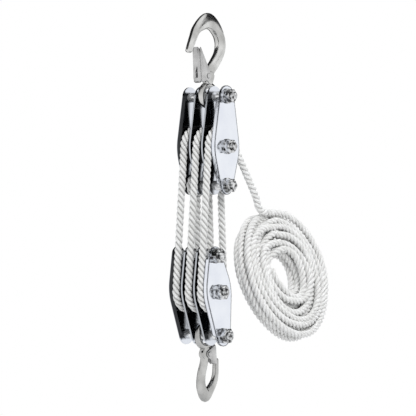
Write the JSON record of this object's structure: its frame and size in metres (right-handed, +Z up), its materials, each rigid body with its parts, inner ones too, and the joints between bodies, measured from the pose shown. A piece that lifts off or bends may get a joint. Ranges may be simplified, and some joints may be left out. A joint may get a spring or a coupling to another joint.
{
  "type": "rope hoist",
  "caption": "Rope hoist with two multi-sheave blocks, a latched hook on each, laid rope between them and a coil of spare rope on the hauling side.",
  "frame": {"origin": "seat in the bowl of the top hook, the point that it hangs on", "axes": "+Z up, along the hoist; +X along the sheave axles towards the nuts; -Y towards the front runs of rope"},
  "size_m": [0.111, 0.2555, 0.5146],
  "materials": {
    "plate": "bright",
    "hook": "satin zinc",
    "latch": "satin zinc",
    "fastener": "bright",
    "sheave": "dark",
    "bush": "satin",
    "rope": "laid three-strand rope"
  },
  "bodies": {
    "top_hook": {"top_hook": "hook", "top_latch_pin": "latch"},
    "top_latch": {"top_latch": "latch"},
    "upper_block": {"upper_cheek_left": "plate", "upper_cheek_right": "plate", "upper_divider_left": "plate", "upper_divider_right": "plate", "upper_hook_bolt": "fastener", "upper_axle_bolt": "fastener", "upper_rope_bolt": "fastener", "upper_hook_nut": "fastener", "upper_axle_nut": "fastener", "upper_rope_nut": "fastener", "upper_washers": "fastener", "upper_hook_sleeves": "fastener", "upper_rope_sleeves": "fastener", "upper_bushes": "bush", "upper_rope_wraps": "rope", "rope_runs": "rope", "rope_dead_end": "rope", "haul_line": "rope", "rope_coil": "rope"},
    "upper_sheave_1": {"upper_sheave_1": "sheave"},
    "upper_sheave_2": {"upper_sheave_2": "sheave"},
    "upper_sheave_3": {"upper_sheave_3": "sheave"},
    "lower_block": {"lower_cheek_left": "plate", "lower_cheek_right": "plate", "lower_divider_left": "plate", "lower_divider_right": "plate", "lower_hook_bolt": "fastener", "lower_axle_bolt": "fastener", "lower_rope_bolt": "fastener", "lower_hook_nut": "fastener", "lower_axle_nut": "fastener", "lower_rope_nut": "fastener", "lower_washers": "fastener", "lower_hook_sleeves": "fastener", "lower_rope_sleeves": "fastener", "lower_bushes": "bush", "lower_rope_wraps": "rope"},
    "lower_sheave_1": {"lower_sheave_1": "sheave"},
    "lower_sheave_2": {"lower_sheave_2": "sheave"},
    "lower_sheave_3": {"lower_sheave_3": "sheave"},
    "bottom_hook": {"bottom_hook": "hook", "bottom_latch_pin": "latch"},
    "bottom_latch": {"bottom_latch": "latch"}
  },
  "joints": [
    {"name": "upper_block_swing", "type": "hinge", "parent": "top_hook", "child": "upper_block", "pos_m": [0, 0, -0.093], "axis": [1, 0, 0], "range_deg": [-60, 60]},
    {"name": "top_latch_open", "type": "hinge", "parent": "top_hook", "child": "top_latch", "pos_m": [0, -0.00598, -0.06582], "axis": [-1, 0, 0], "range_deg": [0, 45], "stiffness_Nm_per_rad": 0.02, "springref_deg": -28.65},
    {"name": "lower_block_raise", "type": "slide", "parent": "upper_block", "child": "lower_block", "axis": [0, 0.0839, 0.9965], "range_m": [0, 0.05], "deforming": ["rope_runs"]},
    {"name": "upper_sheave_1_spin", "type": "hinge", "parent": "upper_block", "child": "upper_sheave_1", "pos_m": [0, 0, -0.159], "axis": [1, 0, 0], "continuous": true},
    {"name": "upper_sheave_2_spin", "type": "hinge", "parent": "upper_block", "child": "upper_sheave_2", "pos_m": [0, 0, -0.159], "axis": [1, 0, 0], "continuous": true},
    {"name": "upper_sheave_3_spin", "type": "hinge", "parent": "upper_block", "child": "upper_sheave_3", "pos_m": [0, 0, -0.159], "axis": [1, 0, 0], "continuous": true},
    {"name": "lower_sheave_1_spin", "type": "hinge", "parent": "lower_block", "child": "lower_sheave_1", "pos_m": [0, -0.016, -0.349], "axis": [1, 0, 0], "continuous": true},
    {"name": "lower_sheave_2_spin", "type": "hinge", "parent": "lower_block", "child": "lower_sheave_2", "pos_m": [0, -0.016, -0.349], "axis": [1, 0, 0], "continuous": true},
    {"name": "lower_sheave_3_spin", "type": "hinge", "parent": "lower_block", "child": "lower_sheave_3", "pos_m": [0, -0.016, -0.349], "axis": [1, 0, 0], "continuous": true},
    {"name": "bottom_hook_swing", "type": "hinge", "parent": "lower_block", "child": "bottom_hook", "pos_m": [0, -0.00693, -0.40629], "axis": [1, 0, 0], "range_deg": [-60, 60]},
    {"name": "bottom_latch_open", "type": "hinge", "parent": "bottom_hook", "child": "bottom_latch", "pos_m": [0, -0.00231, -0.43188], "axis": [-1, 0, 0], "range_deg": [0, 45], "stiffness_Nm_per_rad": 0.02, "springref_deg": -28.65}
  ],
  "couplings": [
    {"joint": "upper_sheave_1_spin", "follows": "lower_block_raise", "rad_per_m": -83.333},
    {"joint": "upper_sheave_2_spin", "follows": "lower_block_raise", "rad_per_m": -166.67},
    {"joint": "upper_sheave_3_spin", "follows": "lower_block_raise", "rad_per_m": -250},
    {"joint": "lower_sheave_1_spin", "follows": "lower_block_raise", "rad_per_m": -41.667},
    {"joint": "lower_sheave_2_spin", "follows": "lower_block_raise", "rad_per_m": -125},
    {"joint": "lower_sheave_3_spin", "follows": "lower_block_raise", "rad_per_m": -208.33}
  ]
}
